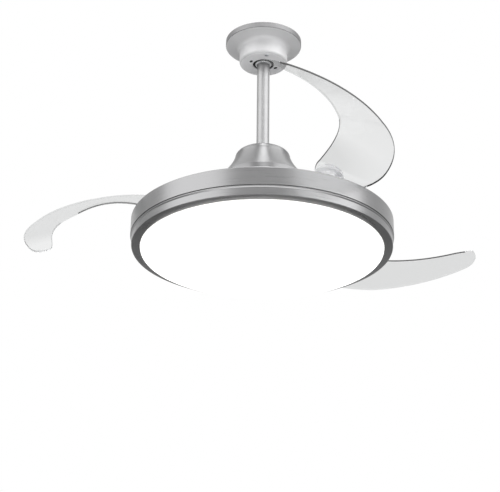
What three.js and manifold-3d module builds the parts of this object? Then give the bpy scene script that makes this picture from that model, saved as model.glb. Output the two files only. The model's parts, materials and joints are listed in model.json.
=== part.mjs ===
// Ceiling fan whose three clear blades fold back over a round lamp drum.
// Millimetres, +Z up. The origin is the centre of the face that lies against the ceiling, so all
// heights are negative. The blades are modelled swung out. Folded, each blade's outer edge runs
// round the drum, and that folded place is where its outline is worked out.
import * as THREE from "three";
import { mergeVertices } from "three/addons/utils/BufferGeometryUtils.js";
import Module from "manifold-3d";

const wasm = await Module();
wasm.setup();

// ---------------------------------------------------------------- driving sizes
const fitGap = 0.3; // left between pieces that seat on each other
const slideGap = 0.6; // left round large faceted pieces that turn in each other

// Canopy and hanger at the ceiling
const canopyRadius = 76;
const canopyRimHeight = 14.6;
const canopyDishDrop = 3; // how far the dish falls between its rim and its cup
const canopyCupRadius = 48;
const canopyDepth = 53;
const canopyWall = 1.5;
const canopyHoleRadius = 21;
const canopyScrewCircle = 38.5;
const canopyScrewAngle = -80;
const canopyScrewRadius = 1.9;
const canopyScrewHead = 4.2;
const canopyScrewHeadHeight = 2.4;
const canopySlotCircle = 27.5;
const canopySlotAngle = 27;
const canopySlotSize = [6, 4.5];
const canopyRimRound = 3;
const canopyBottomRound = 3;
const canopyCupFillet = 8;
const bracketPlate = [132, 34, 2.5];
const bracketLegWidth = 26;
const bracketLegOffset = 34;
const bracketFlangeRadius = 43.5;
const bracketScrewOffset = 52;
const bracketScrewRadius = 2.75;
const bracketWireHole = [-20, 7]; // place along the plate, and radius
const ballRadius = 23;
const ballDrop = 37; // centre of the hanger ball below the ceiling
const ballFlatAngle = 50; // latitude where the ball is cut flat, above and below
const linerWall = 2;
const socketWall = 3.5;
const socketHighAngle = -8; // latitudes of the socket's rim, and how far the liner stays inside it
const linerLowInset = 4;
const linerHighInset = 2;
const terminalBlock = [20, 15, 10];
const terminalPitch = 4.4;
const terminalWay = 2.6; // side of each wire way
const terminalFloor = 3; // block left under the wire ways
const terminalGap = 2; // from the block to the bracket's leg

// Down rod and its pins
const rodRadius = 12.5;
const rodWall = 1.8;
const rodLength = 271;
const rodAboveBall = 20; // top of the rod above the ball's centre
const ballPinRadius = 2.8;
const ballPinLength = 29;
const rodPinRadius = 3.5;
const rodPinHead = 6; // radius
const rodPinHeadHeight = 3;
const rodPinShow = 5; // pin beyond the coupling, where the clip sits
const clipWidth = 3.5;
const clipThickness = 1.2;
const clipOpening = 80; // degrees
const rodPinDrop = 18; // below the coupling's top
const setScrewRadius = 2.5;
const setScrewDrop = 8;
const setScrewShow = 2.5; // beyond the coupling
const setScrewKey = 1.3; // radius of its socket
const setScrewKeyDepth = 2;

// Coupling, bell and motor
const rodSocketDepth = 36;
const rodToShaft = 4; // between the rod's foot and the shaft's top
const couplingRadius = 19;
const couplingFootRadius = 30;
const couplingFootHeight = 14;
const couplingHeight = 60;
const bellTopRadius = 51;
const bellShoulder = 7;
const bellHeight = 83;
const bellLipHeight = 19; // straight lip at the bell's foot
const bellFootRadius = 86;
const bellFlareSlope = 0.0716; // bell radius gained per millimetre of drop, at its top
const bellWall = 1.5;
const shaftRadius = 9;
const shaftBore = 6;
const shaftShow = 8; // shaft seen between the coupling and the motor
const motorRadius = 82;
const motorHeight = 62;
const motorWall = 2.5;
const motorCorner = 3;
const bearingSeatWall = 4;
const shaftClearance = 4; // round the shaft, in the motor's case and the hub
const bearingRadius = 16;
const bearingHeight = 8;
const magnetThickness = 7.5;
const airGap = 1;
const coreHeight = 18;
const coreHubRadius = 28;
const coreToothWidth = 11;
const coreToothShow = 5; // tooth beyond its winding
const coreTeeth = 9;
const magnetOverhang = 3; // magnet beyond the core, above and below
const windingOverhang = 8;
const windingCrown = 3;

// Turning tray, its hub and the gear train that keeps the blades together
const trayRadius = 250;
const traySkirtHeight = 34;
const trayWall = 1.6;
const trayRimRound = 1.8;
const trayDeckSink = 5; // deck below the skirt's upper edge
const trayDeckThickness = 2;
const trayCentreHole = 30;
const hubHeight = 28.7; // motor's underside above the deck
const hubTopRadius = 74;
const hubFlangeReach = 6.3; // flange beyond the collar, over the gear ring
const hubWall = 3.2;
const hubConeInset = 6; // cone's foot inside the collar
const gearModule = 4;
const ringTeeth = 70; // on the full circle that the toothed arcs belong to
const sectorTeeth = 30; // likewise
const syncRingWidth = 22.7; // from its bore to the roots of its teeth
const gearThickness = 8;
const gearBacklash = 0.6;
const pressureAngle = 20;
const addendum = 0.95; // tooth height above and below the pitch circle, in modules
const dedendum = 1.25;
const sectorShoulder = 9; // degrees of plain edge past its end teeth

// Blades
const bladeCount = 3;
const pivotAzimuth = 67.1; // of the first blade's pivot, seen from the fan's axis
const foldAngle = 84.2;
const bladeThickness = 3;
const foldedRadius = 279; // outer edge of a folded blade
const bladeLift = 13.6; // outer edge at the root above the tray's upper edge
const bladeTipRise = 31;
const bladeRise = 1.2; // how suddenly the tip rises, as a power
const pitchAtRoot = 13.1;
const pitchAtMiddle = 23.1;
const innerEdge = [166, 44.5, 32]; // inner edge radius: at the root, and its growth towards the tip
const bodyStart = 60; // azimuth where the inner edge leaves its root radius
const bodyLength = 101; // degrees from there to the full growth
const rootEnd = 77; // azimuths of the folded blade's ends
const tipEnd = -42.6;
const rootMiddle = 215; // radius that the round root closes on
const tipMiddle = 252;
const rootOuterRound = 27; // degrees of azimuth over which each corner is rounded
const rootInnerRound = 17;
const tipRound = 9;
const accessHoleRadius = 12;
const postRadius = 5;
const postHeadRadius = 9;
const postHeadHeight = 3;
const bushWall = 2.2;
const nutHeight = 5;
const nutAcross = 15;
const spotfaceSink = 11; // pivot nut's seat below the blade
const holderBossRadius = 17;
const holderFlangeRadius = 27;
const holderFlangeThickness = 4;
const clampPlate = { inner: 13.5, outer: 25.5, near: 145, far: -75 }; // about the pivot
const clampThickness = 2.2;
const clampScrewRadius = 2;
const clampScrewHead = 4.6;
const clampScrewHeadHeight = 1.6;
const clampScrewCrown = 1.4;
const clampScrewShow = 1.5; // shank below the holder's flange
const clampScrewCircle = 19.5;
const clampScrewAngles = [-50, 35, 120];
const stopCircle = 36; // of the stop about the pivot
const stopRadius = 4;
const springRadius = 12;
const springWire = 0.9;
const springTurns = 3;
const springPitch = 3;
const springTail = 4;
const springRoom = 1.2; // round the wire in the holder's well
const springHeadroom = 4;
const postShow = 1.5; // post above its nut

// Lamp body, trim ring and diffuser
const runningGap = 3; // between the turning tray and the lamp body's bead
const lampBandInset = 2.5; // band inside the tray's skirt
const lampNeckInset = 3; // neck inside the band
const lampBead = 1.7;
const lampBeadHeight = 3;
const lampBandHeight = 15.5;
const lampWall = 1.6;
const lampRoofClear = 6; // roof below the underside of the deck
const lampFlangeWidth = 6;
const lampRoofThickness = 2;
const bayonetCount = 3;
const bayonetWidth = 16; // degrees
const bayonetNotch = 22;
const bayonetTurn = 22; // from locked to the notches
const bayonetLug = 2.6; // how far a lug reaches under the lamp body's flange
const trimInset = 0.6; // ring inside the band
const trimWidth = 15.9;
const trimFall = 3.2;
const trimEdge = 0.8;
const trimCollarHeight = 6;
const trimCollarWall = 1.6;
const trimLedge = 1.6;
const diffuserWall = 2.5;
const diffuserBulge = 9.4; // below the trim ring
const diffuserShoulder = [4.4, 6.5]; // in from its wall, and below the trim ring's inner edge
const diffuserCorner = [1.6, 2.6];
const diffuserCrown = 1; // fall of the middle of the dish
const diffuserFlange = 2;
const ledBoard = { inner: 68, outer: 200, thickness: 2 };
const driverBox = [34, 80, 20];
const receiverBox = [28, 60, 16];
const boxOffset = 19; // boxes from the axis
const boxLid = 2;
const boxGroove = 0.8;
const shaftNutHeight = 6;
const shaftNutAcross = 26;
const shaftEnd = 4; // shaft below its nut

// Facets round a full turn
const drumSides = 36;
const coverSides = 26; // canopy, bell and hub
const midSides = 18;
const smallSides = 8;
const pinSides = 8;
const clampScrewSides = 6;

// ---------------------------------------------------------------- heights worked out from them
const rad = THREE.MathUtils.degToRad;
const ballZ = -ballDrop;
const rodTop = ballZ + rodAboveBall;
const rodBottom = rodTop - rodLength;
const couplingTop = rodBottom + rodSocketDepth;
const couplingBottom = couplingTop - couplingHeight;
const bellTop = couplingTop + fitGap + bellWall;
const motorTop = couplingBottom - shaftShow;
const motorBottom = motorTop - motorHeight;
const deckTop = motorBottom - fitGap - hubHeight;
const deckBottom = deckTop - trayDeckThickness;
const trayTop = deckTop + trayDeckSink;
const trayBottom = trayTop - traySkirtHeight;
const gearBottom = deckTop + fitGap;
const gearTop = gearBottom + gearThickness;
const roofTop = deckBottom - lampRoofClear;
const roofBottom = roofTop - lampRoofThickness;
const bandTop = trayBottom - runningGap;
const bandBottom = bandTop - lampBandHeight;
const shaftTop = rodBottom - rodToShaft;
const shaftBottom = roofBottom - fitGap - shaftNutHeight - shaftEnd;

// Lamp radii, each inside the one before
const lampBandRadius = trayRadius - lampBandInset;
const lampNeckRadius = lampBandRadius - lampNeckInset;
const lampFlangeRadius = lampBandRadius - lampFlangeWidth;
const trimOuterRadius = lampBandRadius - trimInset;
const trimInnerRadius = trimOuterRadius - trimWidth;

// The pivots and the gears: the pivot circle is the sum of the two pitch radii.
const ringPitchRadius = (gearModule * ringTeeth) / 2;
const sectorPitchRadius = (gearModule * sectorTeeth) / 2;
const pivotRadius = ringPitchRadius + sectorPitchRadius;
const pivot = new THREE.Vector2(pivotRadius, 0).rotateAround(new THREE.Vector2(), rad(pivotAzimuth));
const ringInnerRadius = ringPitchRadius - dedendum * gearModule - syncRingWidth;
const hubCollarRadius = ringInnerRadius - slideGap;

// The flats of the bush's bore clear the corners of the post that it turns about.
const bushInner = (postRadius + fitGap) / Math.cos(Math.PI / smallSides);
const bushOuter = bushInner + bushWall;
const hubFlangeRadius = hubCollarRadius + hubFlangeReach;

// ---------------------------------------------------------------- solids from three.js geometry
function toSolid(geometry) {
  const loose = geometry.index ? geometry.toNonIndexed() : geometry;
  const bare = new THREE.BufferGeometry();
  bare.setAttribute("position", loose.getAttribute("position"));
  const merged = mergeVertices(bare, 1e-4);
  const corners = merged.index.array;
  const triVerts = [];
  for (let i = 0; i < corners.length; i += 3) {
    const [a, b, c] = corners.slice(i, i + 3);
    if (a !== b && b !== c && c !== a) triVerts.push(a, b, c);
  }
  const vertProperties = merged.attributes.position.array;
  const build = (list) =>
    new wasm.Manifold(new wasm.Mesh({ numProp: 3, vertProperties, triVerts: new Uint32Array(list) }));
  const solid = build(triVerts);
  return solid.volume() < 0 ? build(triVerts.reverse()) : solid;
}

function toGeometry(solid) {
  const mesh = solid.getMesh();
  const geometry = new THREE.BufferGeometry();
  geometry.setAttribute("position", new THREE.BufferAttribute(mesh.vertProperties, 3));
  geometry.setIndex(new THREE.BufferAttribute(mesh.triVerts, 1));
  return geometry;
}

// A profile of [radius, height] points turned about Z. Off the axis it is closed on itself.
function turned(profile, sides) {
  const onAxis = profile[0][0] === 0 && profile.at(-1)[0] === 0;
  const loop = onAxis ? profile : [...profile, profile[0]];
  const points = loop.map(([radius, height]) => new THREE.Vector2(radius, height));
  return toSolid(new THREE.LatheGeometry(points, sides).rotateX(Math.PI / 2));
}

function tube(inner, outer, bottom, top, sides) {
  return turned([[inner, bottom], [outer, bottom], [outer, top], [inner, top]], sides);
}

function cylinder(radius, bottom, top, sides) {
  return turned([[0, bottom], [radius, bottom], [radius, top], [0, top]], sides);
}

function prism(shape, bottom, top, curveSegments = 8) {
  const settings = { depth: top - bottom, bevelEnabled: false, curveSegments };
  return toSolid(new THREE.ExtrudeGeometry(shape, settings).translate(0, 0, bottom));
}

function block(low, high) {
  const size = high.map((value, axis) => value - low[axis]);
  const centre = high.map((value, axis) => (value + low[axis]) / 2);
  return toSolid(new THREE.BoxGeometry(...size).translate(...centre));
}

function polygon(points) {
  return new THREE.Shape(points.map(([x, y]) => new THREE.Vector2(x, y)));
}

function polar(radius, degrees) {
  return [radius * Math.cos(rad(degrees)), radius * Math.sin(rad(degrees))];
}

// A bar along X or Y, for pins and their holes.
function bar(axis, radius, from, to, height, sides = pinSides) {
  const lying = cylinder(radius, from, to, sides);
  const turn = axis === "x" ? [0, 90, 0] : [-90, 0, 0];
  return lying.rotate(turn).translate([0, 0, height]);
}

function arcPoints(centre, radius, from, to, steps) {
  const points = [];
  for (let i = 0; i <= steps; i++) {
    const angle = rad(from + ((to - from) * i) / steps);
    points.push([centre[0] + radius * Math.cos(angle), centre[1] + radius * Math.sin(angle)]);
  }
  return points;
}

// Part of a flat ring between two radii and two azimuths.
function ringPart({ inner, outer, near, far }, steps = 6) {
  return polygon([
    ...arcPoints([0, 0], outer, far, near, steps),
    ...arcPoints([0, 0], inner, near, far, steps),
  ]);
}

function hexagon(across) {
  const corners = Array.from({ length: 6 }, (_, corner) => polar(across / Math.sqrt(3), corner * 60));
  return polygon(corners);
}

const materials = {
  paintedSilver: { color: 0x9b9c9e, roughness: 0.38, metalness: 0.75 },
  steel: { color: 0xb4b6b8, roughness: 0.3, metalness: 1 },
  castAluminium: { color: 0xa9abad, roughness: 0.5, metalness: 0.9 },
  clearBlade: { color: 0xe9edee, roughness: 0.05, metalness: 0, opacity: 0.35, transparent: true },
  opal: { color: 0xfbfaf6, roughness: 0.45, metalness: 0, emissive: 0xfffdf6 },
  whitePlastic: { color: 0xe6e6e2, roughness: 0.5, metalness: 0 },
  whitePaint: { color: 0xe4e4e1, roughness: 0.4, metalness: 0 },
  greyPlastic: { color: 0x8c8f92, roughness: 0.55, metalness: 0 },
  darkPlastic: { color: 0x2b2c2e, roughness: 0.6, metalness: 0 },
  rubber: { color: 0x1d1d1e, roughness: 0.85, metalness: 0 },
  copper: { color: 0xa8603a, roughness: 0.45, metalness: 0.8 },
  lamination: { color: 0x55585c, roughness: 0.55, metalness: 0.8 },
  magnet: { color: 0x3a3b3e, roughness: 0.7, metalness: 0.3 },
};

const fan = new THREE.Group();

function add(name, solid, material, parent = fan) {
  const mesh = new THREE.Mesh(toGeometry(solid), new THREE.MeshStandardMaterial(materials[material]));
  mesh.name = name;
  parent.add(mesh);
}

// One group for each blade, turned to its place round the axis.
const bladeGroups = Array.from({ length: bladeCount }, (_, copy) => {
  const group = new THREE.Group();
  group.rotation.z = (copy * 2 * Math.PI) / bladeCount;
  fan.add(group);
  return group;
});

function addAtEachBlade(name, solid, material) {
  bladeGroups.forEach((group, copy) => add(`${name}_${copy + 1}`, solid, material, group));
}

function roundAxis(solid, count) {
  return Array.from({ length: count }, (_, copy) => solid.rotate([0, 0, (copy * 360) / count]));
}

// ---------------------------------------------------------------- ceiling end
// Latitude arc of the hanger ball: points on a sphere of this radius about the ball's centre.
function ballArc(radius, from, to, steps) {
  return arcPoints([0, ballZ], radius, from, to, steps);
}

const ballFlat = ballRadius * Math.sin(rad(ballFlatAngle));
const linerInner = ballRadius + fitGap;
const linerOuter = linerInner + linerWall;
const socketRadius = linerOuter + fitGap;
const flangeBottom = -canopyDepth + canopyWall + 2 * fitGap;
const socketLowAngle = -THREE.MathUtils.radToDeg(Math.asin((ballZ - flangeBottom) / socketRadius));
const flangeTop = flangeBottom + bracketPlate[2];

function makeBracket() {
  const [length, width, thickness] = bracketPlate;
  const wireHole = cylinder(bracketWireHole[1], -thickness - 1, 1, smallSides);
  const screwHole = cylinder(bracketScrewRadius, -thickness - 1, 1, smallSides);
  const rimTop = ballZ + socketRadius * Math.sin(rad(socketHighAngle));
  const rimOuter = socketRadius + socketWall;
  const socket = turned([
    ...ballArc(socketRadius, socketLowAngle, socketHighAngle, 3),
    [rimOuter, rimTop],
    [rimOuter, flangeTop],
    [bracketFlangeRadius, flangeTop],
    [bracketFlangeRadius, flangeBottom],
  ], midSides);
  const leg = block(
    [bracketLegOffset, -bracketLegWidth / 2, flangeBottom + thickness / 2],
    [bracketLegOffset + thickness, bracketLegWidth / 2, -thickness / 2],
  );
  let bracket = block([-length / 2, -width / 2, -thickness], [length / 2, width / 2, 0])
    .add(socket)
    .add(leg)
    .add(leg.rotate([0, 0, 180]))
    .subtract(wireHole.translate([bracketWireHole[0], 0, 0]));
  for (const side of [-1, 1]) {
    bracket = bracket.subtract(screwHole.translate([side * bracketScrewOffset, 0, 0]));
    const [x, y] = polar(side * canopyScrewCircle, canopyScrewAngle);
    const hole = cylinder(canopyScrewRadius + fitGap, flangeBottom - 1, flangeTop + 1, smallSides);
    bracket = bracket.subtract(hole.translate([x, y, 0]));
  }
  return bracket;
}

function makeCanopy() {
  const dishFoot = -canopyRimHeight - canopyDishDrop;
  const rim = [canopyRadius - canopyRimRound, canopyRimRound - canopyRimHeight];
  const fillet = [canopyCupRadius + canopyCupFillet, dishFoot - canopyCupFillet];
  const bottom = [canopyCupRadius - canopyBottomRound, canopyBottomRound - canopyDepth];
  const shell = [
    [canopyRadius, -fitGap],
    ...arcPoints(rim, canopyRimRound, 0, -80, 2),
    ...arcPoints(fillet, canopyCupFillet, 98, 180, 2),
    ...arcPoints(bottom, canopyBottomRound, 0, -90, 2),
    [canopyHoleRadius, -canopyDepth],
    [canopyHoleRadius, canopyWall - canopyDepth],
    [canopyCupRadius - canopyWall, canopyWall - canopyDepth],
    ...arcPoints(fillet, canopyCupFillet + canopyWall, 180, 98, 1),
    [canopyRadius - canopyWall, canopyWall - canopyRimHeight],
    [canopyRadius - canopyWall, -fitGap],
  ];
  let canopy = turned(shell, coverSides);
  const [slotLong, slotWide] = canopySlotSize;
  for (const side of [-1, 1]) {
    const [x, y] = polar(side * canopyScrewCircle, canopyScrewAngle);
    const floorTop = canopyWall - canopyDepth;
    const hole = cylinder(canopyScrewRadius + fitGap, -canopyDepth - 1, floorTop + 1, smallSides);
    const slot = block(
      [canopySlotCircle - slotWide / 2, -slotLong / 2, -canopyDepth - 1],
      [canopySlotCircle + slotWide / 2, slotLong / 2, floorTop + 1],
    );
    canopy = canopy
      .subtract(hole.translate([x, y, 0]))
      .subtract(slot.rotate([0, 0, canopySlotAngle + 90 * (1 - side)]));
  }
  return canopy;
}

function makeCanopyScrew(side) {
  const head = -canopyDepth - fitGap;
  const [x, y] = polar(side * canopyScrewCircle, canopyScrewAngle);
  return turned([
    [0, head - canopyScrewHeadHeight],
    [canopyScrewHead, head - canopyScrewHeadHeight / 2],
    [canopyScrewHead, head],
    [canopyScrewRadius, head],
    [canopyScrewRadius, flangeTop + canopyScrewRadius],
    [0, flangeTop + canopyScrewRadius],
  ], smallSides).translate([x, y, 0]);
}

function makeTerminalBlock() {
  const [length, width, height] = terminalBlock;
  const top = -bracketPlate[2] - fitGap;
  const start = bracketLegOffset - terminalGap - length;
  const wayLow = top - height + terminalFloor;
  let body = block([start, -width / 2, top - height], [start + length, width / 2, top]);
  for (const row of [-1, 0, 1]) {
    const near = row * terminalPitch - terminalWay / 2;
    const wayHigh = [start + length + 1, near + terminalWay, wayLow + terminalWay];
    body = body.subtract(block([start - 1, near, wayLow], wayHigh));
  }
  return body;
}

function makeLiner() {
  const low = socketLowAngle + linerLowInset;
  const high = socketHighAngle - linerHighInset;
  return turned([...ballArc(linerOuter, low, high, 3), ...ballArc(linerInner, high, low, 3)], midSides);
}

const ballPinZ = ballZ + ballFlat - ballPinRadius - fitGap;

function makeBall() {
  const seat = ballPinRadius + fitGap;
  const groove = bar("x", seat, -ballRadius, ballRadius, ballPinZ)
    .add(block([-ballRadius, -seat, ballPinZ], [ballRadius, seat, ballZ + ballRadius]));
  return turned([
    [rodRadius + fitGap, ballZ - ballFlat],
    ...ballArc(ballRadius, -ballFlatAngle, ballFlatAngle, 6),
    [rodRadius + fitGap, ballZ + ballFlat],
  ], midSides).subtract(groove);
}

const rodPinZ = couplingTop - rodPinDrop;
const setScrewZ = couplingTop - setScrewDrop;

function makeRod() {
  const bore = rodRadius - rodWall;
  const through = rodRadius + 1;
  return tube(bore, rodRadius, rodBottom, rodTop, midSides)
    .subtract(bar("x", ballPinRadius + fitGap, -through, through, ballPinZ))
    .subtract(bar("x", rodPinRadius + fitGap, -through, through, rodPinZ));
}

add("ceiling_bracket", makeBracket(), "steel");
add("canopy", makeCanopy(), "paintedSilver");
add("canopy_screw_1", makeCanopyScrew(1), "steel");
add("canopy_screw_2", makeCanopyScrew(-1), "steel");
add("terminal_block", makeTerminalBlock(), "whitePlastic");
add("seat_ring", makeLiner(), "greyPlastic");
add("hanger_ball", makeBall(), "greyPlastic");
add("ball_pin", bar("x", ballPinRadius, -ballPinLength / 2, ballPinLength / 2, ballPinZ), "steel");
add("downrod", makeRod(), "paintedSilver");

// ---------------------------------------------------------------- coupling, shaft and bell
function makeCoupling() {
  const footTop = couplingBottom + couplingFootHeight;
  const footSlope = couplingFootRadius - couplingRadius;
  return turned([
    [couplingRadius, couplingTop],
    [couplingRadius, footTop + footSlope],
    [couplingFootRadius, footTop],
    [couplingFootRadius, couplingBottom],
    [shaftRadius + fitGap, couplingBottom],
    [shaftRadius + fitGap, shaftTop + fitGap],
    [shaftBore, shaftTop + fitGap],
    [shaftBore, rodBottom - fitGap],
    [rodRadius + fitGap, rodBottom - fitGap],
    [rodRadius + fitGap, couplingTop],
  ], midSides)
    .subtract(bar("x", rodPinRadius + fitGap, -couplingRadius - 1, couplingRadius + 1, rodPinZ))
    .subtract(bar("y", setScrewRadius + fitGap, -couplingRadius - 1, couplingRadius + 1, setScrewZ));
}

function makeRodPin() {
  const end = couplingRadius + rodPinShow;
  const headSeat = couplingRadius + fitGap;
  return bar("x", rodPinRadius, -end, headSeat + 1, rodPinZ)
    .add(bar("x", rodPinHead, headSeat, headSeat + rodPinHeadHeight, rodPinZ));
}

// Open clip that holds the pin's plain end, lying flat against the coupling.
function makePinClip() {
  const inner = rodPinRadius + fitGap;
  const far = 90 + clipOpening / 2;
  const shape = ringPart({ inner, outer: inner + clipWidth, near: far + 360 - clipOpening, far }, 14);
  const side = -couplingRadius - fitGap;
  return prism(shape, 0, clipThickness).rotate([0, -90, 0]).translate([side, 0, rodPinZ]);
}

function makeSetScrew(side) {
  const inner = rodRadius + fitGap;
  const outer = couplingRadius + setScrewShow;
  const screw = bar("y", setScrewRadius, inner, outer, setScrewZ)
    .subtract(bar("y", setScrewKey, outer - setScrewKeyDepth, outer + 1, setScrewZ, 6));
  return screw.rotate([0, 0, 90 * (1 - side)]);
}

// Outer radius of the bell at a drop below its top: a parabola down to a straight lip.
const bellFlareHeight = bellHeight - bellLipHeight;
const bellFlareRest = bellFootRadius - bellTopRadius - bellFlareSlope * bellFlareHeight;
const bellFlareGrowth = bellFlareRest / bellFlareHeight ** 2;

function bellRadiusAt(drop) {
  const capped = Math.min(drop, bellFlareHeight);
  return bellTopRadius + bellFlareSlope * capped + bellFlareGrowth * capped * capped;
}

function makeBell() {
  const flareSteps = 4;
  const shoulderRadius = bellRadiusAt(bellShoulder);
  const outer = [];
  for (let i = 1; i <= flareSteps; i++) {
    const drop = bellShoulder + ((bellFlareHeight - bellShoulder) * i) / flareSteps;
    outer.push([bellRadiusAt(drop), bellTop - drop]);
  }
  outer.push([bellRadiusAt(bellHeight), bellTop - bellHeight]);
  const inner = outer.map(([radius, height]) => [radius - bellWall, height]).reverse();
  const roundCentre = [shoulderRadius - bellShoulder, bellTop - bellShoulder];
  const innerRound = bellShoulder - bellWall;
  return turned([
    [rodRadius + 2 * fitGap, bellTop],
    ...arcPoints(roundCentre, bellShoulder, 90, 0, 2),
    ...outer,
    ...inner,
    ...arcPoints(roundCentre, innerRound, 0, 90, 1),
    [rodRadius + 2 * fitGap, bellTop - bellWall],
  ], coverSides);
}

add("coupling", makeCoupling(), "castAluminium");
add("rod_pin", makeRodPin(), "steel");
add("pin_clip", makePinClip(), "steel");
add("set_screw_1", makeSetScrew(1), "steel");
add("set_screw_2", makeSetScrew(-1), "steel");
add("bell_cover", makeBell(), "paintedSilver");
add("motor_shaft", tube(shaftBore, shaftRadius, shaftBottom, shaftTop, midSides), "steel");

// ---------------------------------------------------------------- motor
const motorMiddle = (motorTop + motorBottom) / 2;
const magnetOuter = motorRadius - motorWall - fitGap;
const magnetInner = magnetOuter - magnetThickness;
const coreRadius = magnetInner - airGap;
const bearingSeat = bearingRadius + fitGap;

// Stator outline: a hub with straight teeth. Grow widens it all round, to cut the winding space.
function coreShape(grow) {
  const half = coreToothWidth / 2 + grow;
  const hub = coreHubRadius + grow;
  const tip = coreRadius + grow;
  const spread = (radius) => THREE.MathUtils.radToDeg(Math.asin(half / radius));
  const points = [];
  for (let tooth = 0; tooth < coreTeeth; tooth++) {
    const middle = (tooth * 360) / coreTeeth;
    points.push(
      polar(hub, middle - spread(hub)),
      polar(tip, middle - spread(tip)),
      polar(tip, middle + spread(tip)),
      polar(hub, middle + spread(hub)),
    );
  }
  return polygon(points);
}

function makeCore() {
  const half = coreHeight / 2;
  return prism(coreShape(0), motorMiddle - half, motorMiddle + half)
    .subtract(cylinder(shaftRadius + fitGap, motorBottom, motorTop, midSides));
}

function makeWindings() {
  const half = coreHeight / 2 + fitGap;
  const inner = coreHubRadius + fitGap;
  const outer = coreRadius - coreToothShow;
  const reach = half + windingOverhang;
  const crown = windingCrown;
  const ring = turned([
    [inner, motorMiddle - reach],
    [outer - crown, motorMiddle - reach],
    [outer, motorMiddle - reach + crown],
    [outer, motorMiddle + reach - crown],
    [outer - crown, motorMiddle + reach],
    [inner, motorMiddle + reach],
  ], midSides);
  return ring.subtract(prism(coreShape(fitGap), motorMiddle - half, motorMiddle + half));
}

// Half of the motor's turning case, as a cup with a bearing seat. Side is 1 above and -1 below.
function makeMotorShell(side) {
  const flat = side > 0 ? motorTop : motorBottom;
  const lip = motorMiddle + (side * fitGap) / 2;
  const at = (depth) => flat - side * depth;
  const mouth = shaftRadius + shaftClearance;
  const seatOuter = bearingSeat + bearingSeatWall;
  const profile = [
    [mouth, at(0)],
    [motorRadius - motorCorner, at(0)],
    [motorRadius, at(motorCorner)],
    [motorRadius, lip],
    [motorRadius - motorWall, lip],
    [motorRadius - motorWall, at(motorWall)],
    [seatOuter, at(motorWall)],
    [seatOuter, at(motorWall + bearingHeight)],
    [bearingSeat, at(motorWall + bearingHeight)],
    [bearingSeat, at(motorWall)],
    [mouth, at(motorWall)],
  ];
  return turned(profile, midSides);
}

function makeBearing(side) {
  const flat = side > 0 ? motorTop : motorBottom;
  const near = flat - side * (motorWall + fitGap);
  const far = near - side * (bearingHeight - fitGap);
  const low = Math.min(near, far);
  const high = Math.max(near, far);
  return tube(shaftRadius + fitGap, bearingRadius, low, high, midSides);
}

const magnetHalf = coreHeight / 2 + magnetOverhang;

add("stator_core", makeCore(), "lamination");
add("stator_windings", makeWindings(), "copper");
add("rotor_upper_shell", makeMotorShell(1), "castAluminium");
add("rotor_lower_shell", makeMotorShell(-1), "castAluminium");
add("upper_bearing", makeBearing(1), "steel");
add("lower_bearing", makeBearing(-1), "steel");
add(
  "magnet_ring",
  tube(magnetInner, magnetOuter, motorMiddle - magnetHalf, motorMiddle + magnetHalf, midSides),
  "magnet",
);

// ---------------------------------------------------------------- turning tray and its hub
function makeHub() {
  const top = motorBottom - fitGap;
  const flangeLow = gearTop + fitGap;
  const flangeHigh = flangeLow + hubWall;
  const collarInner = hubCollarRadius - hubWall;
  const mouth = shaftRadius + shaftClearance;
  return turned([
    [mouth, top],
    [hubTopRadius, top],
    [hubCollarRadius - hubConeInset, flangeHigh],
    [hubFlangeRadius, flangeHigh],
    [hubFlangeRadius, flangeLow],
    [hubCollarRadius, flangeLow],
    [hubCollarRadius, deckTop + fitGap],
    [collarInner, deckTop + fitGap],
    [collarInner, flangeLow],
    [hubTopRadius - hubWall / 2, top - hubWall],
    [mouth, top - hubWall],
  ], coverSides);
}

function makeTray() {
  const inner = trayRadius - trayWall;
  const tray = turned([
    [trayRadius, trayBottom],
    [trayRadius, trayTop - trayRimRound],
    [trayRadius - trayRimRound, trayTop],
    [trayRadius - 2 * trayRimRound, trayTop],
    [trayRadius - 2 * trayRimRound, deckTop],
    [trayCentreHole, deckTop],
    [trayCentreHole, deckBottom],
    [inner, deckBottom],
    [inner, trayBottom],
  ], drumSides);
  const postHole = cylinder(postRadius + fitGap, deckBottom - 1, deckTop + 1, smallSides);
  const tailHole = cylinder(springWire + fitGap, deckBottom - 1, deckTop + 1, pinSides);
  const holes = postHole
    .translate([pivot.x, pivot.y, 0])
    .add(tailHole.translate([pivot.x + springRadius, pivot.y, 0]));
  return roundAxis(holes, bladeCount).reduce((solid, hole) => solid.subtract(hole), tray);
}

// Involute function: how far an involute has turned from its base circle, at a radius.
function involuteAngle(baseRadius, radius) {
  const roll = Math.sqrt(Math.max((radius / baseRadius) ** 2 - 1, 0));
  return roll - Math.atan(roll);
}

// Outline of one gear tooth, from root to tip and back, as [x, y] points about the gear's centre.
function toothPoints(teeth, middle) {
  const pitchCircle = (gearModule * teeth) / 2;
  const base = pitchCircle * Math.cos(rad(pressureAngle));
  const root = pitchCircle - dedendum * gearModule;
  const tip = pitchCircle + addendum * gearModule;
  const halfAtPitch = ((Math.PI * gearModule) / 2 - gearBacklash / 2) / (2 * pitchCircle);
  const flank = [root, pitchCircle, tip].map((radius) => {
    const turn = involuteAngle(base, pitchCircle) - involuteAngle(base, radius);
    return [radius, THREE.MathUtils.radToDeg(halfAtPitch + turn)];
  });
  const rising = flank.map(([radius, half]) => polar(radius, middle - half));
  const falling = flank.map(([radius, half]) => polar(radius, middle + half)).reverse();
  return [...rising, ...falling];
}

const ringToothPitch = 360 / ringTeeth;
const sectorToothPitch = 360 / sectorTeeth;
const ringTravel = (foldAngle * sectorTeeth) / ringTeeth;

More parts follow.
